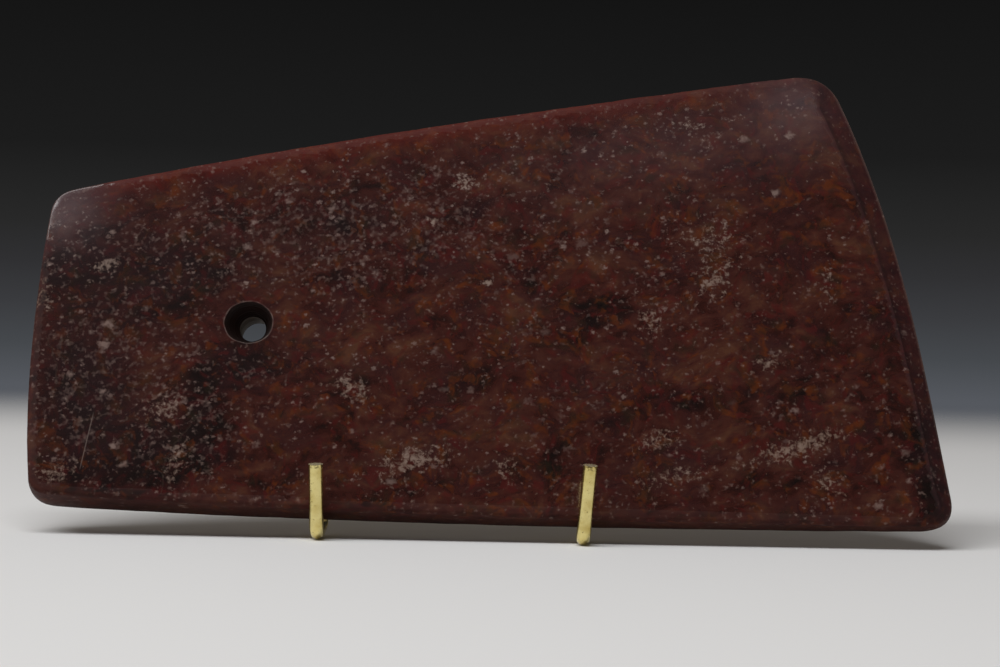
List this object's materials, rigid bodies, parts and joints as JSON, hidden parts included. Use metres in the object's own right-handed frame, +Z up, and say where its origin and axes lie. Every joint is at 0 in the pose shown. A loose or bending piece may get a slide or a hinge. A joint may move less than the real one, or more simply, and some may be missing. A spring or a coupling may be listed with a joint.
{
  "type": "hardstone ritual axe",
  "caption": "Trapezoidal ritual axe blade of polished dark red hardstone, drilled through near its butt and ground along a dull cutting edge, leaning back on a bent brass wire display stand.",
  "frame": {"origin": "on the table, under the middle of the bounding box of the axe and its stand together", "axes": "+X along the axe from its butt to its cutting edge, -Y out of the show face, +Z up"},
  "size_m": [0.2578, 0.0828, 0.1346],
  "materials": {
    "stone": "polished mottled dark red hardstone with paler grey-tan speckles and frosted weathered patches",
    "brass": "bright drawn brass rod with light handling tarnish"
  },
  "bodies": {
    "root": {"axe_blade": "stone", "stand_side_rod_left": "brass", "stand_side_rod_right": "brass", "stand_top_bar": "brass", "stand_rear_leg_left": "brass", "stand_rear_leg_right": "brass", "stand_foot_bar": "brass"}
  },
  "joints": []
}
